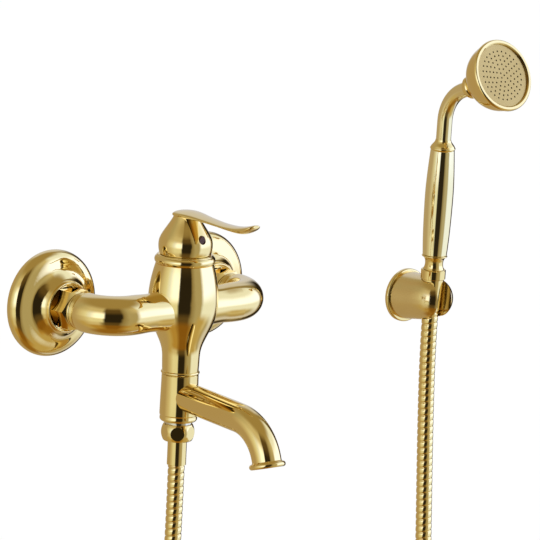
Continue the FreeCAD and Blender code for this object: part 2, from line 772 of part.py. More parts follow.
def rounded_route(points):
    """Straight runs joined by tangent arcs: a list of (length, place), where place gives the
    point and heading at a distance along the piece. Prints the radii."""
    corners = []
    for before, here, after in zip(points, points[1:], points[2:]):
        arriving = (here - before).normalize()
        leaving = (after - here).normalize()
        turn = math.acos(max(-1.0, min(1.0, arriving.dot(leaving))))
        room = 0.45 * min((here - before).Length, (after - here).Length)
        corners.append((here, arriving, leaving, turn, room, room / math.tan(turn / 2)))
    print("hose bend radii, mm:", [round(corner[5]) for corner in corners])
    pieces = []
    here = points[0]
    for corner, arriving, leaving, turn, room, radius in corners:
        start = corner - arriving * room
        pieces.append(((start - here).Length, straight_place(here, arriving)))
        pieces.append((radius * turn, arc_place(start, arriving, leaving, turn, radius)))
        here = corner + leaving * room
    last = points[-1] - here
    pieces.append((last.Length, straight_place(here, V(last).normalize())))
    return pieces


def straight_place(start, heading):
    return lambda distance: (start + heading * distance, heading)


def arc_place(start, arriving, leaving, turn, radius):
    toward = (leaving - arriving * math.cos(turn)).normalize()

    def place(distance):
        angle = distance / radius
        point = start + arriving * (radius * math.sin(angle)) + toward * (radius * (1 - math.cos(angle)))
        return point, arriving * math.cos(angle) + toward * math.sin(angle)
    return place


def ring_at(pieces, distance, radius):
    """Circle square to the route, with its X axis kept along the same side."""
    for length, place in pieces:
        if distance <= length or (length, place) == pieces[-1]:
            break
        distance -= length
    point, heading = place(distance)
    steady = heading.cross(V(0, 1, 0)).normalize()
    turn = FreeCAD.Rotation(steady, V(0, 0, 0), heading, "ZXY")
    circle = Part.Circle(ORIGIN, Z, radius).toShape()
    circle.Placement = FreeCAD.Placement(point, turn)
    return Part.Wire(circle)


def hose():
    """Ribbed metal hose with its bore, hanging from the mixer to the bracket."""
    low_end = V(0, -body_reach, nut_foot - ferrule_length)
    high_end = in_cup_point(-cone_length)
    points = [low_end, low_end - Z * hose_stub] + [V(*point) for point in hose_route]
    points += [in_cup_point(-cone_length - hose_stub), high_end]
    pieces = rounded_route(points)
    total = sum(length for length, place in pieces)
    plain = 2 * hose_radius
    pitch = (total - 2 * plain) / hose_ribs
    root = hose_radius - rib_depth
    outer = [(0, root), (plain, root)]
    for index in range(hose_ribs):
        start = plain + pitch * index
        outer += [(start + 0.10 * pitch, root), (start + 0.30 * pitch, hose_radius),
                  (start + 0.70 * pitch, hose_radius), (start + 0.90 * pitch, root)]
    outer += [(total - plain, root), (total, root)]
    skin = Part.makeLoft([ring_at(pieces, at, radius) for at, radius in outer], True, True)
    steps = 72
    bore = Part.makeLoft([ring_at(pieces, total * i / steps, hose_bore) for i in range(steps + 1)],
                         True, True)
    print("hose length, mm:", round(total, 1), "rib pitch", round(pitch, 2))
    return skin.cut(bore)


# Wall bracket

def at_bracket(shape):
    return aimed(shape, OUT, V(bracket_x, 0, bracket_z))


def in_cup_point(height):
    return cup_seat + cup_axis * height


def bracket_plate():
    return at_bracket(turned([
        (disc_fit + 0.3, 0), (plate_radius - 0.4, 0), (plate_radius, 0.6),
        (plate_radius, plate_thickness - 1.4),
        (plate_radius - 0.4, plate_thickness - 0.3, plate_radius - 1.4, plate_thickness),
        (disc_fit + 0.3, plate_thickness)]))


def mounting_disc():
    """Disc screwed to the wall, whose boss carries the bracket."""
    solid = fused([rod(disc_fit, 0, plate_thickness - 0.2), rod(boss_radius, 0, boss_length)])
    holes = [turned([(0, -1), (2.3, -1), (2.3, 1.0), (4.3, plate_thickness - 0.2),
                     (4.3, 20), (0, 20)]).translated(V(0, side * wall_screw_z, 0)) for side in (-1, 1)]
    dimple = Part.makeCone(2.0, 0.4, 1.6, V(0, -boss_radius, grub_level), V(0, 1, 0))
    return at_bracket(cut(solid, holes + [dimple]))


def wall_screws():
    screw = turned([(0, -wall_screw_length), (1.9, 3 - wall_screw_length), (2.2, 1.0),
                    (3.8, plate_thickness - 0.5), (0, plate_thickness - 0.5)])
    slot = block(0.9, 10, plate_thickness - 1.5, plate_thickness)
    screws = [cut(screw, [slot]).translated(V(0, side * wall_screw_z, 0)) for side in (-1, 1)]
    return at_bracket(Part.makeCompound(screws))


def bracket_body():
    """Round-nosed block with a conical cup and a slot that the hose slips in through."""
    radius = bracket_radius
    reach = bracket_reach
    tilt = math.radians(bracket_tilt)
    nose = V(0, -math.cos(tilt), math.sin(tilt))
    middle = V(bracket_x, 0, bracket_z)
    solid = aimed(turned([
        (0, -plate_thickness), (radius, -plate_thickness), (radius, plate_thickness),
        [(radius - 0.4, reach - 38.4), (radius - 0.9, reach - 30.4), (radius - 1.3, reach - 23.4),
         (radius - 2.0, reach - 16.4), (radius - 3.5, reach - 9.9), (radius - 6.6, reach - 4.9),
         (radius - 11.3, reach - 1.6), (radius - 15.6, reach - 0.4), (0.4, reach)],
        (0, reach)]), nose, middle)
    behind = Part.makeBox(4 * radius, 2 * radius, 4 * radius,
                          middle + V(-2 * radius, -plate_thickness, -2 * radius))
    socket = at_bracket(rod(boss_radius + seat_clearance, 0, boss_length + 0.6))
    grub_way = Part.makeCylinder(2.1, radius + 2, V(bracket_x, -grub_level, bracket_z), -Z)
    gap = 0.3
    deep = 3 * radius
    cup = turned([(0, -deep), (hose_radius + 1.0, -deep), (hose_radius + 1.0, -cone_length - 1),
                  (cone_tip_radius + gap, -cone_length), (cone_top_radius + gap, -1.4),
                  (cone_ring_radius + gap, -1.2), (cone_ring_radius + gap, radius), (0, radius)])
    slot = Part.makeBox(slot_width, deep, 2 * deep, V(-slot_width / 2, -deep, -deep))
    return cut(solid, [behind, socket, grub_way, in_cup(cup), in_cup(slot)])


def grub_screw():
    top = bracket_z - boss_radius + 0.2
    screw = Part.makeCylinder(2.0, 7.0, V(bracket_x, -grub_level, top), -Z)
    key = hexagon(2.0, -8, -4.5).translated(V(bracket_x, -grub_level, top))
    return cut(screw, [key])


# Hand shower, drawn up the cup's axis

neck_top = cone_collar + 11.6
grip_top = neck_top + grip_length
goose_start = grip_top + 8.0
inner_tube_radius = 5.4


def handset_tail():
    """Threaded tail and waisted neck under the grip."""
    thread = upper_flange + slide_clearance - 0.1
    base = cone_collar + 0.2
    return in_cup(turned([
        (hose_bore, tail_level), (thread, tail_level), (thread, base), (handset_neck + 1.2, base),
        [(handset_neck + 0.4, base + 1.8), (handset_neck, base + 5.0), (handset_neck + 0.6, base + 8.0),
         (grip_end_radius - 0.2, neck_top - 1.3)],
        (grip_end_radius + 0.5, neck_top - 0.6, grip_end_radius, neck_top),
        (inner_tube_radius + 0.1, neck_top), (inner_tube_radius + 0.1, base + 3.0), (hose_bore, base + 3.0)]))


def grip_sleeve():
    """Barrel-shaped grip, fullest above its middle."""
    low = neck_top + 0.2
    end = grip_end_radius
    full = grip_radius
    outer = [(full - 0.6, low + 18), (full - 0.1, low + 36), (full, low + 52), (full - 0.6, low + 68),
             (end - 0.1, grip_top - 0.8)]
    inner = [(full - 2.3, low + 68), (full - 1.6, low + 50), (full - 2.0, low + 28), (end - 2.2, low + 3)]
    return in_cup(turned([
        (inner_tube_radius + 0.1, low), (end - 0.3, low), (end, low + 0.5), outer, (end - 0.7, grip_top),
        (inner_tube_radius + 0.1, grip_top), (inner_tube_radius + 0.1, grip_top - 3),
        (end - 1.6, grip_top - 3),
        inner, (inner_tube_radius + 0.1, low + 3)]))


def inner_tube():
    return in_cup(tube(inner_tube_radius, inner_tube_radius - 1.0, cone_collar + 3.4, goose_start - 5.2))


def grip_collar():
    """Flared collar that clamps the grip and takes the gooseneck."""
    return in_cup(turned([
        (inner_tube_radius + 0.1, grip_top + 0.1), (grip_end_radius + 0.1, grip_top + 0.1),
        (grip_end_radius + 0.4, grip_top + 0.9, grip_end_radius, grip_top + 1.8),
        [(grip_end_radius - 1.2, grip_top + 3.8), (goose_radius + 0.5, goose_start - 1.4),
         (goose_radius + 0.2, goose_start)],
        (goose_radius + 0.05, goose_start), (goose_radius + 0.05, goose_start - 5.0),
        (inner_tube_radius + 0.1, goose_start - 5.0)]))


def gooseneck_line(radius):
    start = V(0, 0, goose_start - 4.9)
    rise, corner = straight(start, Z, radius, goose_rise + 4.9)
    curve, bend_end, heading = bend(corner, Z, OUT, radius, goose_bend, goose_turn)
    tail, end = straight(bend_end, heading, radius, goose_tail)
    return [rise, curve, tail], end, heading


def gooseneck():
    outer, end, heading = gooseneck_line(goose_radius)
    bore, bore_end, bore_heading = gooseneck_line(goose_radius - 1.4)
    return in_cup(cut(fused(outer), [fused(bore)]))


def at_head(shape):
    tubes, end, heading = gooseneck_line(goose_radius)
    return in_cup(aimed(shape, heading, end))


def neck_nut():
    rim = neck_nut_radius
    return at_head(turned([
        (goose_radius + 0.1, -4.0), (goose_radius + 1.2, -4.0), (goose_radius + 1.6, -2.6), (rim - 0.6, -2.2),
        (rim, -1.4), (rim, 1.8), (rim - 0.6, 2.6), (head_neck_radius - 0.6, 3.0),
        (head_neck_radius - 0.6, 4.6), (goose_radius - 1.4, 4.6), (goose_radius - 1.4, 0.2),
        (goose_radius + 0.1, 0.2)]))


plate_level = head_length + 1.0


def head_shell():
    """Bell of the hand shower with a rolled rim."""
    rim = head_radius
    neck = head_neck_radius
    face = head_length + 2.8
    ledge = plate_level - 3.2
    return at_head(turned([
        (goose_radius - 1.0, 4.7), (neck - 0.2, 4.7),
        [(neck + 0.6, 9.6), (neck + 4.2, 12.0), (rim - 11.4, 14.6), (rim - 7.4, 18.0), (rim - 4.4, 22.2),
         (rim - 2.4, 27.0), (rim - 1.4, head_length - 4.3), (rim - 1.0, head_length - 1.2)],
        (rim - 0.2, head_length - 0.4), (rim + 0.1, head_length + 1.2, rim - 0.9, face),
        (face_radius + 0.9, face), (face_radius + 0.1, face - 0.6),
        (face_radius + 0.1, ledge), (rim - 5.0, ledge),
        [(rim - 5.6, 25.4), (rim - 7.2, 21.4), (rim - 10.8, 17.6), (rim - 15.0, 15.2), (neck + 1.0, 13.0),
         (neck - 1.4, 9.6)],
        (goose_radius - 1.0, 7.0)]))


def head_gasket():
    return at_head(tube(face_radius - 0.1, face_radius - 1.9, plate_level - 3.1, plate_level - 1.7))


def spray_plate():
    """Satin plate with rings of fine holes."""
    plate = rod(face_radius, plate_level - 1.6, plate_level)
    holes = []
    for row in range(spray_rows):
        ring = spray_pitch * (row + 0.6)
        count = int(round(2 * math.pi * ring / (spray_pitch * 1.25)))
        for index in range(count):
            angle = 2 * math.pi * (index + 0.37 * row) / count
            holes.append(rod(spray_hole_radius, plate_level - 3, plate_level + 1).translated(
                V(ring * math.cos(angle), ring * math.sin(angle), 0)))
    print("spray holes:", len(holes))
    return at_head(cut(plate, [Part.makeCompound(holes)]))


# Writing

body_level = V(0, 0, -eccentric_throw)


def write(name, shape):
    """Set the piece down from the body frame to the wall inlets' level and write it."""
    placed = shape.translated(body_level)
    if not placed.isValid():
        print("not valid:", name)
    placed.exportStep("parts/" + name + ".step")


def main():
    os.makedirs("parts", exist_ok=True)
    for name, side in SIDES.items():
        write("wall_connector_" + name, connector(side))
        write("inlet_washer_" + name, union_washer_ring(side))
        write("union_nut_" + name, union_nut(side))
        write("rose_" + name, rose(side))
        write("rose_ring_" + name, rose_ring(side))
    dome, blade = handle_pieces()
    housing, insert = aerator_pieces()
    pieces = {
        "mixer_body": mixer_body(), "base_gasket": base_gasket(), "cartridge_base": cartridge_base(),
        "fixed_disc": fixed_disc(), "moving_disc": moving_disc(), "cartridge_housing": cartridge_housing(),
        "cartridge_rotor": carrier(), "lever_pin": pivot_pin(), "lever_stem": lever_stem(),
        "retaining_nut": retaining_nut(), "trim_ring": trim_ring(), "handle_dome": dome,
        "lever_blade": blade, "set_screw": set_screw(), "index_plug": index_plug(),
        "spout": spout(), "aerator_housing": housing, "aerator_insert": insert,
        "spout_core": spout_core(), "spout_seals": spout_seals(), "slip_washer_top": slip_washer_top(),
        "slip_washer_foot": slip_washer_foot(), "outlet_nipple": outlet_nipple(), "hose_nut": hose_nut(),
        "hose_washer_lower": hose_washer_lower(), "ferrule_lower": ferrule_lower(), "hose": hose(),
        "ferrule_upper": ferrule_upper(), "hose_cone": hose_cone(), "hose_washer_upper": hose_washer_upper(),
        "bracket_plate": bracket_plate(), "mounting_disc": mounting_disc(), "wall_screws": wall_screws(),
        "bracket_body": bracket_body(), "grub_screw": grub_screw(), "handset_tail": handset_tail(),
        "grip_sleeve": grip_sleeve(), "inner_tube": inner_tube(), "grip_collar": grip_collar(),
        "gooseneck": gooseneck(), "neck_nut": neck_nut(), "head_shell": head_shell(),
        "head_gasket": head_gasket(), "spray_plate": spray_plate(),
    }
    for name, shape in pieces.items():
        write(name, shape)


main()
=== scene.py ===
# %% [markdown]
# # A gold tub mixer with its hose and hand shower
# The solids of the mixer, the hand shower and the wall bracket come from a CAD model.
# This lesson gives them their looks: polished plating, satin plating, rubber and plastic,
# a ribbed metal hose that is built as a real spiral, and the studio that the gold reflects.
# A polished metal has almost no colour of its own. What we see on it is the room, so the room
# is worked out as carefully as the metal.

# %% Load the solids and keep their box
import math

import bmesh
import bpy
import numpy as np
from mathutils import Matrix, Vector


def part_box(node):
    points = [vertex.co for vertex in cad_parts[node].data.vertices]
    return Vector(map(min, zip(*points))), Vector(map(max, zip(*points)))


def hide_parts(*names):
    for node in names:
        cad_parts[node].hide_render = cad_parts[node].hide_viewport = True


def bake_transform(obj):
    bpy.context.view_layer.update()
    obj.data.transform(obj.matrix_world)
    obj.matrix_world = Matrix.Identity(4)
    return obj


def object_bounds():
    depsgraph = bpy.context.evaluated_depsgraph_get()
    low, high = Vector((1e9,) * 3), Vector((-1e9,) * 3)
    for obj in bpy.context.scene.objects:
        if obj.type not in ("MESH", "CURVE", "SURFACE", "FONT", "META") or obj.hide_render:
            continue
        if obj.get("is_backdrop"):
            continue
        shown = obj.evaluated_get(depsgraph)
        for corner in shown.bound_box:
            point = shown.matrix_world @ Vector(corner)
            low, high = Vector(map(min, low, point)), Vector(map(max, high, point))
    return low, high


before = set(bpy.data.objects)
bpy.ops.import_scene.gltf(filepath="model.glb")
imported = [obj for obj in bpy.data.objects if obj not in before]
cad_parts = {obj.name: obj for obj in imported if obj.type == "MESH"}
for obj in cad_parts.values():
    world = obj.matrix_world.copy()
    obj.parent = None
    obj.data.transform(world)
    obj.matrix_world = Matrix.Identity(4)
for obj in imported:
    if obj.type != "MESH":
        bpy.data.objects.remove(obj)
cad_box = [list(corner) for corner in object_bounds()]
print("solids:", len(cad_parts))

# %% [markdown]
# ## The camera
# The picture was taken from the left and a little above, with a long lens and from far away,
# because the two round wall plates look almost equally large. A camera can be aimed with a
# constraint or with angles. Angles are used here, since the slight tilt of the picture is one
# more turn about the line of sight.

# %% Aim the camera
CAMERA_PLACE = Vector((-3.41689, -3.97094, 1.05674))
CAMERA_AZIMUTH = math.radians(-41.94)
CAMERA_ELEVATION = math.radians(11.255)
CAMERA_ROLL = math.radians(2.552)
FOCAL_LENGTH = 462.41
SENSOR_WIDTH = 36.0
NEAREST_SEEN = 0.5
FARTHEST_SEEN = 60.0

camera_data = bpy.data.cameras.new("studio_camera")
camera_data.lens = FOCAL_LENGTH
camera_data.sensor_width = SENSOR_WIDTH
camera_data.clip_start = NEAREST_SEEN
camera_data.clip_end = FARTHEST_SEEN
camera = bpy.data.objects.new("studio_camera", camera_data)
bpy.context.scene.collection.objects.link(camera)
camera.matrix_world = (
    Matrix.Translation(CAMERA_PLACE)
    @ Matrix.Rotation(CAMERA_AZIMUTH, 4, "Z")
    @ Matrix.Rotation(math.pi / 2 - CAMERA_ELEVATION, 4, "X")
    @ Matrix.Rotation(CAMERA_ROLL, 4, "Z")
)
bpy.context.scene.camera = camera
print("camera axes:", [[round(x, 4) for x in row] for row in camera.matrix_world.to_3x3()])

# %% [markdown]
# ## The line of the hose
# A shower hose is a stiff spring of about a metre. It leaves the mixer straight down, hangs in
# one wide loop and climbs straight into the cone in the bracket. The line could be drawn with
# Bezier handles, but a NURBS spline needs only a few points and never kinks. It starts and ends
# on its first and last point, and in between it is pulled towards the others.

# %% Draw the route
# The points that pull the hose's line, in metres, from ferrule to ferrule.
HOSE_ROUTE = [
    (0.0, -0.0707, -0.1298),
    (0.0, -0.0707, -0.1598),
    (-0.0008, -0.0707, -0.2200),
    (-0.0022, -0.0703, -0.3260),
    (0.0010, -0.0685, -0.4320),
    (0.0380, -0.0640, -0.5050),
    (0.1040, -0.0575, -0.5470),
    (0.1840, -0.0490, -0.5520),
    (0.2570, -0.0405, -0.5160),
    (0.2990, -0.0355, -0.4440),
    (0.3034, -0.0328, -0.3440),
    (0.3018, -0.0310, -0.2440),
    (0.2984, -0.0298, -0.1450),
    (0.2967, -0.029812, -0.077158),
    (0.2967, -0.030964, -0.047180),
]
LINE_RESOLUTION = 40


def nurbs_line(name, route, resolution):
    """Points along the smooth line that the route pulls, read from a curve with no bevel."""
    curve = bpy.data.curves.new(name, "CURVE")
    curve.dimensions = "3D"
    spline = curve.splines.new("NURBS")
    spline.points.add(len(route) - 1)
    for point, place in zip(spline.points, route):
        point.co = (*place, 1.0)
    spline.order_u = 3
    spline.use_endpoint_u = True
    spline.resolution_u = resolution
    holder = bpy.data.objects.new(name, curve)
    bpy.context.scene.collection.objects.link(holder)
    bpy.context.view_layer.update()
    mesh = bpy.data.meshes.new_from_object(holder)
    line = [tuple(v.co) for v in mesh.vertices]
    bpy.data.meshes.remove(mesh)
    bpy.data.objects.remove(holder)
    bpy.data.curves.remove(curve)
    return line


def line_steps(line):
    """The distances between neighbouring points of a line."""
    return np.linalg.norm(np.diff(np.array(line, float), axis=0), axis=1)


hose_line = nurbs_line("hose_line", HOSE_ROUTE, LINE_RESOLUTION)

# %% [markdown]
# ## Walking along the line
# A tube needs to know, at any distance along its line, where it is, where it heads and which
# way is sideways. Blender's own bevel works this out by itself, but it can't make a groove
# that climbs. So two short helpers do it. The sideways direction is carried from place to
# place and only ever corrected, so the tube doesn't twist.

# %% Helpers that walk along a line


def along(line, distances):
    """Points and directions at these distances along a line of points."""
    points = np.array(line, float)
    steps = line_steps(line)
    run = np.concatenate([[0.0], np.cumsum(steps)])
    places = np.stack([np.interp(distances, run, points[:, i]) for i in range(3)], axis=1)
    middles = (run[:-1] + run[1:]) / 2
    ways = np.diff(points, axis=0) / steps[:, None]
    ways = np.stack([np.interp(distances, middles, ways[:, i]) for i in range(3)], axis=1)
    return places, ways / np.linalg.norm(ways, axis=1)[:, None]


def carried_frames(ways, first):
    """Two crossways directions at each place, carried along without twisting."""
    side = np.array(first, float)
    sides = []
    for way in ways:
        side = side - way * (side @ way)
        side = side / np.linalg.norm(side)
        sides.append(side)
    sides = np.array(sides)
    return sides, np.cross(ways, sides)


# %% [markdown]
# ## The ribs of the hose
# The hose is a narrow strip of metal, wound into a tube so that each turn hooks into the next.
# Seen from outside it is one long spiral groove. Rings set one above the other would look
# alike from afar, but their grooves would be level, and on the real hose they climb to the
# right. So the rows of this mesh climb with the groove. Each row keeps one radius, which keeps
# the edge of the groove crisp. Past both ends the rows are squeezed together until they are level.

# %% Lay out the rows of the spiral
HOSE_RADIUS = 0.00650
RIB_DEPTH = 0.00085
RIB_PITCH = 0.00535
HOSE_SIDES = 28
FRAMES_PER_TURN = 8
# Each pair is a place along one turn, from 0 to 1, and the share of the rib's depth left there.
RIB_PROFILE = [(0.0, 1.0), (0.06, 0.42), (0.16, 0.12), (0.42, 0.0), (0.72, 0.10), (0.92, 0.36)]


def spiral_points(rows, length, turns, places, across, over):
    """The points of every row. On its way round the tube a row climbs by one turn."""
    points = []
    for turn, share in rows:
        ring_radius = HOSE_RADIUS - RIB_DEPTH * share
        for j in range(HOSE_SIDES):
            distance = min(max((turn + j / HOSE_SIDES) * (length / turns), 0.0), length)
            index = distance / length * (len(places) - 1)
            low = min(int(index), len(places) - 2)
            part = index - low
            centre = places[low] * (1 - part) + places[low + 1] * part
            right = across[low] * (1 - part) + across[low + 1] * part
            front = over[low] * (1 - part) + over[low + 1] * part
            angle = 2 * math.pi * j / HOSE_SIDES
            points.append(centre + ring_radius * (math.cos(angle) * right + math.sin(angle) * front))
    return points


def spiral_faces(row_count, sides, climb):
    """Faces between the rows. Past its last side a row goes on into the row one turn higher."""
    faces = []
    for i in range(row_count - 1):
        here = i * sides
        above = here + sides
        for j in range(sides - 1):
            faces.append((here + j, here + j + 1, above + j + 1, above + j))
        if i + 1 + climb < row_count:
            next_turn = (i + climb) * sides
            faces.append((here + sides - 1, next_turn, next_turn + sides, above + sides - 1))
    return faces


# %% [markdown]
# ### Flat ends
# The rows past the ends all lie on one level circle there, each at its own radius. They could
# be cut off with a bisect, which leaves slivers. Here they are drawn together to one circle,
# and what has no length or area left is dissolved. Then the two round holes are filled.

# %% Close the ends
ON_END_WITHIN = 1e-7
RING_AND_A_BIT = 1.01
JOINED_WITHIN = 2e-5
NO_LENGTH = 1e-6


def close_ends(work, ends):
    """Draws the rows past the ends together and fills the ends."""
    for vert in work.verts:
        for middle, way in ends:
            away = vert.co - middle
            if abs(away.dot(way)) < ON_END_WITHIN and away.length < HOSE_RADIUS * RING_AND_A_BIT:
                vert.co = middle + away.normalized() * (HOSE_RADIUS - RIB_DEPTH)
    bmesh.ops.remove_doubles(work, verts=work.verts, dist=JOINED_WITHIN)
    bmesh.ops.dissolve_degenerate(work, edges=work.edges, dist=NO_LENGTH)
    loose = [v for v in work.verts if not v.link_faces]
    bmesh.ops.delete(work, geom=loose, context="VERTS")
    rim = [e for e in work.edges if e.is_boundary]
    bmesh.ops.holes_fill(work, edges=rim, sides=0)
    bmesh.ops.recalc_face_normals(work, faces=work.faces)


# %% [markdown]
# ### The finished hose
# The wound tube takes the place of the hose's solid, which is hidden.

# %% Wind the hose and hide the solid one


def wound_tube(name, line):
    """A tube whose rows climb like a screw thread, closed flat at both ends."""
    length = float(line_steps(line).sum())
    turns = round(length / RIB_PITCH)
    rows = [(turn + place, share) for turn in range(-1, turns + 1) for place, share in RIB_PROFILE]
    places, ways = along(line, np.linspace(0.0, length, FRAMES_PER_TURN * turns))
    across, over = carried_frames(ways, (1.0, 0.0, 0.0))
    points = spiral_points(rows, length, turns, places, across, over)
    mesh = bpy.data.meshes.new(name)
    mesh.from_pydata(
        [tuple(p) for p in points], [], spiral_faces(len(rows), HOSE_SIDES, len(RIB_PROFILE))
    )
    work = bmesh.new()
    work.from_mesh(mesh)
    close_ends(work, [(Vector(line[0]), Vector(ways[0])), (Vector(line[-1]), Vector(ways[-1]))])
    work.to_mesh(mesh)
    open_edges = sum(not e.is_manifold for e in work.edges)
    work.free()
    # The rows' faces are shaded smooth, and the two round ends stay flat.
    for polygon in mesh.polygons:
        polygon.use_smooth = len(polygon.vertices) <= 4
    piece = bpy.data.objects.new(name, mesh)
    bpy.context.scene.collection.objects.link(piece)
    print(f"{name}: {turns} turns, {len(mesh.polygons)} faces, {open_edges} open edges")
    return piece


ribbed_hose = wound_tube("ribbed_hose", hose_line)
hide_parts("hose")
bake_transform(ribbed_hose)

# %% [markdown]
# ## Effects that several finishes share
# Each effect is a small group of shader nodes with named inputs, built once. A finish then
# places the group and sets its own values. The group only puts out numbers and colours that
# change over the surface. The shader itself stays in the material. A node takes several lines
# to add and plug in, so the kinds that come up again and again have a helper each.

# %% Helpers that add nodes


def new_group(name, inputs, outputs):
    """An empty shader group with these sockets, and its input and output nodes."""
    group = bpy.data.node_groups.new(name, "ShaderNodeTree")
    kinds = {"vector": "NodeSocketVector", "value": "NodeSocketFloat", "colour": "NodeSocketColor"}
    for label, kind, start in inputs:
        socket = group.interface.new_socket(label, in_out="INPUT", socket_type=kinds[kind])
        if start is not None:
            socket.default_value = start
    for label, kind in outputs:
        group.interface.new_socket(label, in_out="OUTPUT", socket_type=kinds[kind])
    entry = group.nodes.new("NodeGroupInput")
    leave = group.nodes.new("NodeGroupOutput")
    entry.location = (-900, 0)
    leave.location = (700, 0)
    return group, entry.outputs, leave.inputs


def add_node(tree, kind, at=(0, 0), inputs=None, **settings):
    """A node of this kind, with its settings, and what is set on or plugged into its inputs."""
    node = tree.nodes.new(kind)
    node.location = at
    for key, value in settings.items():
        setattr(node, key, value)
    for key, value in (inputs or {}).items():
        if isinstance(value, bpy.types.NodeSocket):
            tree.links.new(value, node.inputs[key])
        else:
            node.inputs[key].default_value = value
    return node


def noise(tree, at, place, scale, detail, roughness=0.5):
    """Soft noise from 0 to 1 that changes with the place."""
    inputs = {"Vector": place, "Scale": scale, "Detail": detail, "Roughness": roughness}
    return add_node(tree, "ShaderNodeTexNoise", at, inputs).outputs["Fac"]


def stretched(tree, at, value, low, high, start=0.0, end=1.0, **settings):
    """A value carried over from one range to another, and held at both ends."""
    inputs = {"Value": value, "From Min": low, "From Max": high, "To Min": start, "To Max": end}
    return add_node(tree, "ShaderNodeMapRange", at, inputs, **settings).outputs["Result"]


def worked_out(tree, at, operation, first, second):
    """Two numbers put together by a math node."""
    return add_node(tree, "ShaderNodeMath", at, {0: first, 1: second}, operation=operation).outputs[0]


def mixed(tree, at, share, first, second):
    """Two colours mixed, from all of the first at 0 to all of the second at 1."""
    inputs = {"Factor": share, "A": first, "B": second}
    return add_node(tree, "ShaderNodeMix", at, inputs, data_type="RGBA").outputs["Result"]


# %% [markdown]
# ### Polish
# A plated surface is never one perfect mirror. The buffing wheel leaves broad patches that are
# a touch duller, fine wiping marks lie across it, and the metal under the plating waves by a few
# hundredths of a millimetre, which bends the edges of reflections. Scratches could be drawn as
# lines, but at this distance only their haze shows, so stretched noise is enough.

# %% Build the polish group
WIPED_FINE = (900.0, 700.0, 70.0)
WIPED_ASLANT = (0.35, 0.2, 0.0)
WAVES = 42.0
HAZE_LOW, HAZE_HIGH = 0.35, 0.95

polish, given, made = new_group(
    "polish",
    [
        ("Place", "vector", None),
        ("Patch Size", "value", 30.0),
        ("Smoothest", "value", 0.03),
        ("Dullest", "value", 0.09),
        ("Marks", "value", 0.3),
    ],
    [("Roughness", "value"), ("Height", "value")],
)
patches = noise(
    polish, (-650, 200), given["Place"], given["Patch Size"], detail=3.0, roughness=0.55
)
wiped = add_node(
    polish,
    "ShaderNodeMapping",
    (-700, -150),
    {"Vector": given["Place"], "Scale": WIPED_FINE, "Rotation": WIPED_ASLANT},
)
marks = noise(polish, (-480, -150), wiped.outputs["Vector"], 1.0, detail=2.0, roughness=0.6)
marks_kept = worked_out(polish, (-280, -150), "MULTIPLY", marks, given["Marks"])
haze = worked_out(polish, (-100, 100), "ADD", patches, marks_kept)
dullness = stretched(
    polish, (120, 150), haze, HAZE_LOW, HAZE_HIGH, given["Smoothest"], given["Dullest"]
)
waves = noise(polish, (-650, -420), given["Place"], WAVES, detail=1.0, roughness=0.4)
polish.links.new(dullness, made["Roughness"])
polish.links.new(waves, made["Height"])
print("group:", polish.name)

# %% [markdown]
# ### Plating colour
# Gold plating is a very thin film, and its colour drifts a little: lemon where it is thin and
# rounded over, warmer where the bath laid it thicker. Two golds are mixed by slow noise.

# %% Build the plating colour group
# Noise seldom leaves the middle of its range, so that middle is stretched to the whole.
NOISE_LOW, NOISE_HIGH = 0.3, 0.7

plating, given, made = new_group(
    "plating_colour",
    [
        ("Place", "vector", None),
        ("Drift Size", "value", 12.0),
        ("Pale Gold", "colour", (0.95, 0.78, 0.38, 1.0)),
        ("Deep Gold", "colour", (0.91, 0.70, 0.30, 1.0)),
    ],
    [("Colour", "colour")],
)
drift = noise(plating, (-600, 100), given["Place"], given["Drift Size"], detail=2.0)
deep_share = stretched(plating, (-350, 100), drift, NOISE_LOW, NOISE_HIGH)
two_golds = mixed(plating, (-100, 50), deep_share, given["Pale Gold"], given["Deep Gold"])
plating.links.new(two_golds, made["Colour"])
print("group:", plating.name)

# %% [markdown]
# ### Fine grain
# Rubber, moulded plastic, ceramic and a machined but unplated metal all have a fine, even
# grain. It is one group with a size, two roughness limits and two colours.

# %% Build the grain group
WORN_PATCHES = 60.0

grain, given, made = new_group(
    "fine_grain",
    [
        ("Place", "vector", None),
        ("Grain Size", "value", 900.0),
        ("Smoothest", "value", 0.4),
        ("Dullest", "value", 0.6),
        ("Colour", "colour", (0.5, 0.5, 0.5, 1.0)),
        ("Worn Colour", "colour", (0.6, 0.6, 0.6, 1.0)),
    ],
    [("Colour", "colour"), ("Roughness", "value"), ("Height", "value")],
)
fine = noise(grain, (-600, -150), given["Place"], given["Grain Size"], detail=3.0, roughness=0.6)
broad = noise(grain, (-600, 150), given["Place"], WORN_PATCHES, detail=4.0, roughness=0.6)
dullness = stretched(
    grain, (-300, 150), broad, NOISE_LOW, NOISE_HIGH, given["Smoothest"], given["Dullest"]
)
worn = mixed(grain, (-100, -50), broad, given["Colour"], given["Worn Colour"])
grain.links.new(worn, made["Colour"])
grain.links.new(dullness, made["Roughness"])
grain.links.new(fine, made["Height"])
print("group:", grain.name)

# %% [markdown]
# ### Turned rings
# The satin faces were cut on a lathe, and the tool leaves rings round the axis that it turned
# about. The group measures the distance from that axis and feeds it to noise, so the rings are
# fine and uneven. The axis is given by a place and a turn in front of the group. Past a given
# distance along the axis the rings are buffed away.

# %% Build the turned rings group
BUFFED_ROUGHNESS = 0.04

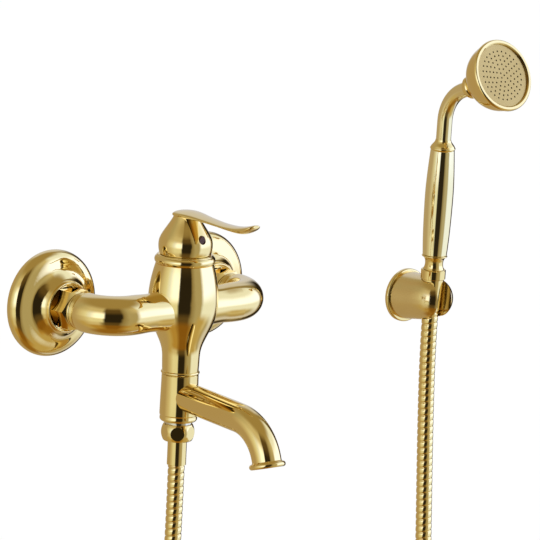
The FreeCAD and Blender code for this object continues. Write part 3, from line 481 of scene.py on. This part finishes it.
turned, given, made = new_group(
    "turned_rings",
    [
        ("Place", "vector", None),
        ("Rings", "value", 6000.0),
        ("Smoothest", "value", 0.22),
        ("Dullest", "value", 0.34),
        ("Buffed From", "value", 1.0),
        ("Buffed To", "value", 1.1),
    ],
    [("Roughness", "value"), ("Height", "value")],
)
parted = add_node(turned, "ShaderNodeSeparateXYZ", (-750, 0), {0: given["Place"]}).outputs
flat_place = add_node(
    turned, "ShaderNodeCombineXYZ", (-580, 0), {"X": parted["X"], "Y": parted["Y"]}
)
from_axis = add_node(
    turned, "ShaderNodeVectorMath", (-400, 0), {0: flat_place.outputs[0]}, operation="LENGTH"
)
rings = add_node(
    turned,
    "ShaderNodeTexNoise",
    (-200, 0),
    {"W": from_axis.outputs["Value"], "Scale": given["Rings"], "Detail": 2.0},
    noise_dimensions="1D",
).outputs["Fac"]
dullness = stretched(
    turned, (50, 100), rings, NOISE_LOW, NOISE_HIGH, given["Smoothest"], given["Dullest"]
)
buffed = stretched(
    turned,
    (300, 100),
    parted["Z"],
    given["Buffed From"],
    given["Buffed To"],
    dullness,
    BUFFED_ROUGHNESS,
)
turned.links.new(buffed, made["Roughness"])
turned.links.new(rings, made["Height"])
print("group:", turned.name)

# %% [markdown]
# ## The finishes
# Each finish is one material with a Principled shader. Values that are the same all over sit
# on the shader's own sockets, and only what changes over the surface is plugged in. Small
# helpers start a material, place a group in it and turn its height into a bent normal.

# %% Helpers that start a finish


def new_finish(name, metallic):
    """A material with a Principled shader, and the place on the object in its own coordinates."""
    material = bpy.data.materials.new(name)
    material.use_nodes = True
    tree = material.node_tree
    tree.nodes.clear()
    out = add_node(tree, "ShaderNodeOutputMaterial", (700, 0))
    shader = add_node(tree, "ShaderNodeBsdfPrincipled", (350, 0), {"Metallic": metallic})
    tree.links.new(shader.outputs["BSDF"], out.inputs["Surface"])
    place = add_node(tree, "ShaderNodeTexCoord", (-900, 0)).outputs["Object"]
    return material, tree, shader.inputs, place


def use_group(tree, group, at, inputs):
    """The group placed in a material, with its own values."""
    return add_node(tree, "ShaderNodeGroup", at, inputs, node_tree=group).outputs


def dress_shader(tree, shader, colour, surface, strength, distance):
    """Colour, roughness and height plugged into the shader. The height bends the normal."""
    inputs = {"Height": surface["Height"], "Strength": strength, "Distance": distance}
    bent = add_node(tree, "ShaderNodeBump", (100, -300), inputs)
    tree.links.new(colour["Colour"], shader["Base Color"])
    tree.links.new(surface["Roughness"], shader["Roughness"])
    tree.links.new(bent.outputs["Normal"], shader["Normal"])


# %% [markdown]
# ### Polished gold
# This covers nearly everything that shows. It is a full metal: all its colour is in how it
# reflects. The roughness stays low, so that the dark and bright fields of the studio keep
# their edges, as they do on the real plating. The hand shower's grip and neck get a paler copy
# of the same gold, which is painted light: it makes them look more brightly lit.

# %% Polished gold


def polished_plating(name, pale, deep):
    """Polished plating whose colour drifts between these two golds."""
    material, tree, shader, place = new_finish(name, metallic=1.0)
    colour = use_group(
        tree,
        plating,
        (-500, 250),
        {"Place": place, "Drift Size": 14.0, "Pale Gold": pale, "Deep Gold": deep},
    )
    surface = use_group(
        tree,
        polish,
        (-500, -50),
        {"Place": place, "Patch Size": 45.0, "Smoothest": 0.02, "Dullest": 0.055, "Marks": 0.35},
    )
    dress_shader(tree, shader, colour, surface, strength=0.10, distance=0.001)
    print("finish:", name)
    return material


polished_gold = polished_plating("polished_gold", (0.94, 0.78, 0.40, 1.0), (0.92, 0.73, 0.34, 1.0))
# The hand shower's gold is painted light: the same plating made paler, so that grip and neck look
# more brightly lit.
painted_lit_gold = polished_plating("hand_shower_painted_lit_gold", (0.98, 0.89, 0.60, 1.0), (0.97, 0.86, 0.54, 1.0))

# %% [markdown]
# ### Satin gold
# The spray plate and the bracket's barrel are plated over a turned surface. They spread the
# studio's fields into soft bands. The rings need the axis of each piece, so the finish is made
# by a function that takes the place and the direction of that axis. The barrel's nose is buffed.
# The spray plate's golds are far darker than the barrel's, which is painted shade on the same
# plating.

# %% Satin gold
TOOL_RINGS = 1600.0
PLATE_WAY = (0.0, -0.918, 0.396)
BARREL_PLACE = (0.2967, 0.0, -0.0399)
BARREL_WAY = (0.0, -0.9962, 0.0872)
BARREL_BUFFED = (0.039, 0.047)
# Farther along the axis than the plate is long, so that no part of it is buffed.
PLATE_BUFFED = (1.0, 1.1)


def satin_gold_about(name, axis_place, axis_way, smoothest, dullest, buffed, pale, deep):
    """Satin gold whose turned rings lie round this axis."""
    material, tree, shader, place = new_finish(name, metallic=1.0)
    turn = Vector(axis_way).rotation_difference(Vector((0.0, 0.0, 1.0))).to_euler()
    from_place = add_node(
        tree, "ShaderNodeVectorMath", (-860, -200), {0: place, 1: axis_place}, operation="SUBTRACT"
    )
    seen_along = add_node(
        tree,
        "ShaderNodeMapping",
        (-700, -200),
        {"Vector": from_place.outputs[0], "Rotation": turn},
    )
    colour = use_group(
        tree,
        plating,
        (-500, 250),
        {"Place": place, "Drift Size": 30.0, "Pale Gold": pale, "Deep Gold": deep},
    )
    surface = use_group(
        tree,
        turned,
        (-450, -150),
        {
            "Place": seen_along.outputs["Vector"],
            "Rings": TOOL_RINGS,
            "Smoothest": smoothest,
            "Dullest": dullest,
            "Buffed From": buffed[0],
            "Buffed To": buffed[1],
        },
    )
    dress_shader(tree, shader, colour, surface, strength=0.02, distance=0.0001)
    print("finish:", name)
    return material


plate_low, plate_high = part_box("spray_plate")
# The plate's two golds are far darker than the barrel's: painted shade on the same satin plating.
satin_plate_painted_shade = satin_gold_about(
    "satin_gold_plate_painted_shade",
    (plate_low + plate_high) / 2,
    PLATE_WAY,
    smoothest=0.26,
    dullest=0.36,
    buffed=PLATE_BUFFED,
    pale=(0.585, 0.43, 0.175, 1.0),
    deep=(0.54, 0.39, 0.15, 1.0),
)
satin_barrel = satin_gold_about(
    "satin_gold_barrel",
    BARREL_PLACE,
    BARREL_WAY,
    smoothest=0.17,
    dullest=0.24,
    buffed=BARREL_BUFFED,
    pale=(0.90, 0.75, 0.42, 1.0),
    deep=(0.87, 0.70, 0.36, 1.0),
)

# %% [markdown]
# ### Everything else
# The parts behind the plating are bare brass, steel, rubber, ceramic and plastic. They show in
# gaps, at the wall and when a joint moves. They differ in colour, grain and shine, so one
# function makes them all from a short table.

# %% Plain finishes from a table
PLAIN_FINISHES = {
    # name: (metallic, colour, worn colour, smoothest, dullest, grain size, bump distance)
    "raw_brass": (1.0, (0.78, 0.60, 0.32), (0.62, 0.44, 0.22), 0.26, 0.42, 1400.0, 0.00004),
    "pale_ring": (1.0, (0.86, 0.85, 0.82), (0.74, 0.73, 0.70), 0.10, 0.20, 1800.0, 0.00001),
    "steel": (1.0, (0.62, 0.62, 0.63), (0.50, 0.50, 0.51), 0.22, 0.36, 2200.0, 0.00002),
    "ceramic": (0.0, (0.88, 0.87, 0.84), (0.82, 0.81, 0.78), 0.10, 0.20, 2600.0, 0.00001),
    "white_plastic": (0.0, (0.80, 0.80, 0.78), (0.72, 0.72, 0.69), 0.34, 0.48, 1500.0, 0.00003),
    "dark_plastic": (0.0, (0.075, 0.018, 0.012), (0.11, 0.030, 0.018), 0.24, 0.36, 1500.0, 0.00003),
    "rubber": (0.0, (0.030, 0.030, 0.032), (0.055, 0.054, 0.052), 0.62, 0.82, 1100.0, 0.00006),
}


def plain_finish(name, metallic, colour, worn, smoothest, dullest, size, distance):
    """A finish from one row of the table."""
    material, tree, shader, place = new_finish(name, metallic)
    surface = use_group(
        tree,
        grain,
        (-450, 0),
        {
            "Place": place,
            "Grain Size": size,
            "Smoothest": smoothest,
            "Dullest": dullest,
            "Colour": (*colour, 1.0),
            "Worn Colour": (*worn, 1.0),
        },
    )
    dress_shader(tree, shader, surface, surface, strength=0.5, distance=distance)
    return material


finishes = {name: plain_finish(name, *row) for name, row in PLAIN_FINISHES.items()}
finishes["polished_gold"] = polished_gold
print("plain finishes:", ", ".join(PLAIN_FINISHES))

# %% [markdown]
# ## Dressing the solids
# Every solid came in with a plain material named after its finish. The name is looked up, and
# the built finish takes its place. The two satin solids get the finish with their own axis, the
# spray plate's one darkened with painted shade, and the grip and the bent tube of the hand shower
# get their paler gold, which is painted light.

# %% Give every solid its finish
# The spray plate's finish carries painted shade, and the hand shower's paler gold carries painted
# light.
OWN_FINISHES = {
    "spray_plate": satin_plate_painted_shade,
    "bracket_body": satin_barrel,
    "grip_sleeve": painted_lit_gold,
    "gooseneck": painted_lit_gold,
}

for node_name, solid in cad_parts.items():
    for material_slot in solid.material_slots:
        plain_name = material_slot.material.name.split(".")[0]
        material_slot.material = OWN_FINISHES.get(node_name) or finishes[plain_name]
ribbed_hose.data.materials.append(polished_gold)
print("dressed:", len(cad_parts), "solids")

# %% [markdown]
# ## The room that the gold reflects
# The photograph shows the room in the round of the mixer's barrel. A large soft light stands
# on the left. In front, round the camera, is a dark screen. An olive wall follows on the
# right, then a tall bright light, and behind it a narrow dark gap, which draws the dark line
# along the right edge of each round part. Low down lies the floor, amber and brown.
# Lamps and cards could be placed, but a world shader that changes with the direction is
# steadier. First come the colours of its walls and lights.

# %% The walls and lights of the studio
# A light of 1 is white where it meets the camera.
LEFT_LIGHT = (1.36, 1.44, 1.66)
RIGHT_LIGHT = (1.30, 1.48, 2.15)
LIGHT_EDGE = (0.90, 1.00, 1.16)
CREAM_WALL = (0.80, 0.80, 0.62)
SAND_WALL = (0.64, 0.57, 0.37)
KHAKI_WALL = (0.45, 0.35, 0.20)
OLIVE_WALL = (0.44, 0.39, 0.24)
DIM_OLIVE = (0.29, 0.23, 0.11)
GREY_WALL = (0.54, 0.50, 0.48)
BACK_WALL = (0.66, 0.67, 0.76)
TAN_FLOOR = (0.52, 0.40, 0.16)
AMBER_FLOOR = (0.46, 0.29, 0.07)
BROWN_FLOOR = (0.24, 0.11, 0.012)
UMBER = (0.11, 0.07, 0.022)
SCREEN = (0.024, 0.018, 0.010)
DEEP_FLOOR = (0.30, 0.15, 0.020)
CEILING = (0.36, 0.27, 0.11)

# %% [markdown]
# ### Five rings of fields
# The room is five rings, one above the other, over a deep floor and under a ceiling. Each field
# is an angle in degrees from where the camera stood, to the right positive, and what stands
# there. Between two fields the light changes evenly, so a wall that is one colour over its
# whole width has a field at each of its ends.

# %% The rings, from the lowest to the highest
UNDER_ROOM = [
    (-180, KHAKI_WALL), (-96, KHAKI_WALL), (-72, TAN_FLOOR), (-52, AMBER_FLOOR), (-34, AMBER_FLOOR),
    (-12, BROWN_FLOOR), (26, BROWN_FLOOR), (52, AMBER_FLOOR), (68, TAN_FLOOR), (98, TAN_FLOOR),
    (114, KHAKI_WALL), (126, BACK_WALL), (142, BACK_WALL), (150, DIM_OLIVE), (166, KHAKI_WALL),
]
SKIRT_ROOM = [
    (-180, KHAKI_WALL), (-96, KHAKI_WALL), (-72, TAN_FLOOR), (-50, SAND_WALL), (-30, SAND_WALL),
    (-20, DIM_OLIVE), (-13, UMBER), (20, UMBER), (30, DIM_OLIVE), (48, OLIVE_WALL),
    (66, TAN_FLOOR), (82, TAN_FLOOR), (96, SAND_WALL), (108, OLIVE_WALL), (124, BACK_WALL),
    (138, BACK_WALL), (146, SCREEN), (164, SCREEN), (174, KHAKI_WALL),
]
LOW_ROOM = [
    (-180, GREY_WALL), (-170, GREY_WALL), (-158, KHAKI_WALL), (-94, KHAKI_WALL), (-64, SAND_WALL),
    (-46, CREAM_WALL), (-19, CREAM_WALL), (-13, SCREEN), (23, SCREEN), (30, DIM_OLIVE),
    (46, OLIVE_WALL), (62, OLIVE_WALL), (72, LIGHT_EDGE), (130, LIGHT_EDGE), (137, GREY_WALL),
    (142, SCREEN), (166, SCREEN), (174, GREY_WALL),
]
MIDDLE_ROOM = [
    (-180, BACK_WALL), (-170, BACK_WALL), (-158, KHAKI_WALL), (-91, KHAKI_WALL), (-76, SAND_WALL),
    (-60, CREAM_WALL), (-47, LIGHT_EDGE), (-34, LEFT_LIGHT), (-16, LEFT_LIGHT), (-12, SCREEN),
    (26, SCREEN), (31, DIM_OLIVE), (42, OLIVE_WALL), (62, OLIVE_WALL), (74, RIGHT_LIGHT),
    (130, RIGHT_LIGHT), (137, GREY_WALL), (142, SCREEN), (166, SCREEN), (174, BACK_WALL),
]
HIGH_ROOM = [
    (-180, BACK_WALL), (-158, BACK_WALL), (-146, OLIVE_WALL), (-122, KHAKI_WALL), (-90, OLIVE_WALL),
    (-56, SAND_WALL), (-22, SAND_WALL), (-13, UMBER), (23, UMBER), (30, DIM_OLIVE),
    (42, OLIVE_WALL), (66, SAND_WALL), (76, LIGHT_EDGE), (134, LIGHT_EDGE), (141, DIM_OLIVE),
    (150, DIM_OLIVE), (160, BACK_WALL),
]
# Each ring, and the two heights between which the ring below gives way to it, in degrees.
ROOM_RINGS = [
    ("under", UNDER_ROOM, -82, -60),
    ("skirt", SKIRT_ROOM, -52, -38),
    ("low", LOW_ROOM, -36, -20),
    ("middle", MIDDLE_ROOM, -12, 0),
    ("high", HIGH_ROOM, 13, 36),
]
CEILING_HEIGHTS = (40, 64)
print("room fields:", sum(len(fields) for _, fields, _, _ in ROOM_RINGS))

# %% [markdown]
# ### Where a reflection looks
# The world gives the direction that a ray leaves in. It is turned about the vertical by a
# fixed angle, so that nought lies towards the place that the photograph was taken from. Its
# compass angle then tells which field of a ring it meets, and its height tells which ring.

# %% Start the world and read the direction
ROOM_TURN = math.radians(131.94)

world = bpy.data.worlds.new("studio")
bpy.context.scene.world = world
world.use_nodes = True
tree = world.node_tree
tree.nodes.clear()
direction = add_node(tree, "ShaderNodeTexCoord", (-1500, 0)).outputs["Generated"]
faced = add_node(
    tree,
    "ShaderNodeVectorRotate",
    (-1300, 0),
    {"Vector": direction, "Angle": ROOM_TURN},
    rotation_type="Z_AXIS",
)
xyz = add_node(tree, "ShaderNodeSeparateXYZ", (-1120, 0), {0: faced.outputs[0]}).outputs
bearing = worked_out(tree, (-940, 100), "ARCTAN2", xyz["Y"], xyz["X"])
compass = stretched(tree, (-760, 100), bearing, -math.pi, math.pi)
print("the room is turned by", round(math.degrees(ROOM_TURN), 2), "degrees")

# %% [markdown]
# ### Rings of light, one above the other
# Each ring is a colour ramp round the compass, with a stop wherever one wall or light gives way
# to the next. The bar of a ramp shows nothing brighter than white, so the lights are halved in
# it, and the world's strength of 2 brings them back. An image could hold the same room, but a
# ramp is sharp at any size, and its walls can be moved one by one.

# %% Stack the rings
LIGHT_SCALE = 2.0


def halved(light):
    """The colour of a light as the ramps hold it."""
    return (*[x / LIGHT_SCALE for x in light], 1.0)


def compass_ramp(tree, name, fields, at):
    """A colour ramp round the compass with a stop at each field."""
    ramp = add_node(tree, "ShaderNodeValToRGB", at, {"Fac": compass}, label=name)
    stops = ramp.color_ramp.elements
    while len(stops) < len(fields):
        stops.new(0.5)
    # The stops sort themselves by place, so all of them are placed before any is coloured.
    for stop, (degrees, _) in zip(stops, fields):
        stop.position = degrees / 360 + 0.5
    for stop, (_, light) in zip(stops, fields):
        stop.color = halved(light)
    return ramp.outputs["Color"]


def blend_up(tree, below, above, heights, at):
    """Goes from one light to the other between two heights above the horizon, in degrees."""
    low, high = [math.sin(math.radians(height)) for height in heights]
    share = stretched(
        tree, (at[0] - 180, at[1] - 200), xyz["Z"], low, high, interpolation_type="SMOOTHSTEP"
    )
    return mixed(tree, at, share, below, above)


room_light = halved(DEEP_FLOOR)
for i, (name, fields, low, high) in enumerate(ROOM_RINGS):
    ring = compass_ramp(tree, name, fields, (-560, 300 * i - 700))
    room_light = blend_up(tree, room_light, ring, (low, high), (-260 + 60 * i, 250 * i - 600))
room_light = blend_up(tree, room_light, halved(CEILING), CEILING_HEIGHTS, (60, 650))
print("rings:", ", ".join(name for name, _, _, _ in ROOM_RINGS))

# %% [markdown]
# ### A white page for the camera
# The camera itself should see white paper behind the object, not the room. A ray knows what it
# came from, so the world shows white to rays that come straight from the camera or through
# glass, and the room to all others.

# %% White for the camera, the room for the gold
WHITE = (1.0, 1.0, 1.0, 1.0)


def seen_directly(tree, at):
    """1 for rays straight from the camera or through glass, and 0 for all others."""
    ray = add_node(tree, "ShaderNodeLightPath", at).outputs
    beside = (at[0] + 200, at[1])
    return worked_out(tree, beside, "MAXIMUM", ray["Is Camera Ray"], ray["Is Transmission Ray"])


def either_shader(tree, share, first, second, at):
    """Two shaders mixed, from all of the first at 0 to all of the second at 1."""
    mix = add_node(tree, "ShaderNodeMixShader", at, {0: share})
    tree.links.new(first.outputs[0], mix.inputs[1])
    tree.links.new(second.outputs[0], mix.inputs[2])
    return mix.outputs[0]


reflected = add_node(
    tree, "ShaderNodeBackground", (240, 500), {"Color": room_light, "Strength": LIGHT_SCALE}
)
page = add_node(tree, "ShaderNodeBackground", (240, 650), {"Color": WHITE})
chosen = either_shader(tree, seen_directly(tree, (60, 900)), reflected, page, (460, 600))
add_node(tree, "ShaderNodeOutputWorld", (660, 600), {"Surface": chosen})
print("world:", world.name)

# %% [markdown]
# ## The floor
# The floor is pale and plain. The camera sees it as white paper, with two fifths of its own
# shading kept, so that it still takes the object's shadow. It isn't mirrored in the gold
# itself: there the room's lowest rings stand for it, which are warm and dim, as the floor close
# under a polished piece is.

# %% Lay the floor
FLOOR_LEVEL = -0.60
FLOOR_HALF = 9.0
FLOOR_COLOUR = (0.86, 0.86, 0.85, 1.0)
PAPER_SHARE = 0.6
PAPER_COLOUR = (0.954, 0.970, 1.0, 1.0)
PAPER_STRENGTH = 1.475

floor_mesh = bpy.data.meshes.new("studio_floor")
corners = [(-1, -1), (1, -1), (1, 1), (-1, 1)]
floor_mesh.from_pydata(
    [(x * FLOOR_HALF, y * FLOOR_HALF, FLOOR_LEVEL) for x, y in corners], [], [(0, 1, 2, 3)]
)
floor = bpy.data.objects.new("studio_floor", floor_mesh)
bpy.context.scene.collection.objects.link(floor)
floor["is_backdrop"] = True
pale_floor = bpy.data.materials.new("pale_floor")
pale_floor.use_nodes = True
tree = pale_floor.node_tree
tree.nodes.clear()
paper_share = worked_out(
    tree, (-120, 300), "MULTIPLY", seen_directly(tree, (-500, 300)), PAPER_SHARE
)
shaded = add_node(tree, "ShaderNodeBsdfDiffuse", (60, 50), {"Color": FLOOR_COLOUR})
paper = add_node(
    tree, "ShaderNodeEmission", (60, -100), {"Color": PAPER_COLOUR, "Strength": PAPER_STRENGTH}
)
both = either_shader(tree, paper_share, shaded, paper, (300, 100))
add_node(tree, "ShaderNodeOutputMaterial", (500, 100), {"Surface": both})
floor_mesh.materials.append(pale_floor)
floor.visible_glossy = False
print("floor at", FLOOR_LEVEL, "m")

# %% [markdown]
# ## View settings, the final box and the end
# The Standard view keeps colours as they are written. The box of the dressed model is written
# beside the box of the solids, to see that nothing stands out of it.

# %% Write the boxes and finish
bpy.context.scene.view_settings.view_transform = "Standard"
dressed_box = [list(corner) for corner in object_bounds()]
for end, cad_corner, dressed_corner in zip(("low", "high"), cad_box, dressed_box):
    growth = [round(1000 * (b - a), 2) for a, b in zip(cad_corner, dressed_corner)]
    print(end, "corner moved by (mm):", growth)
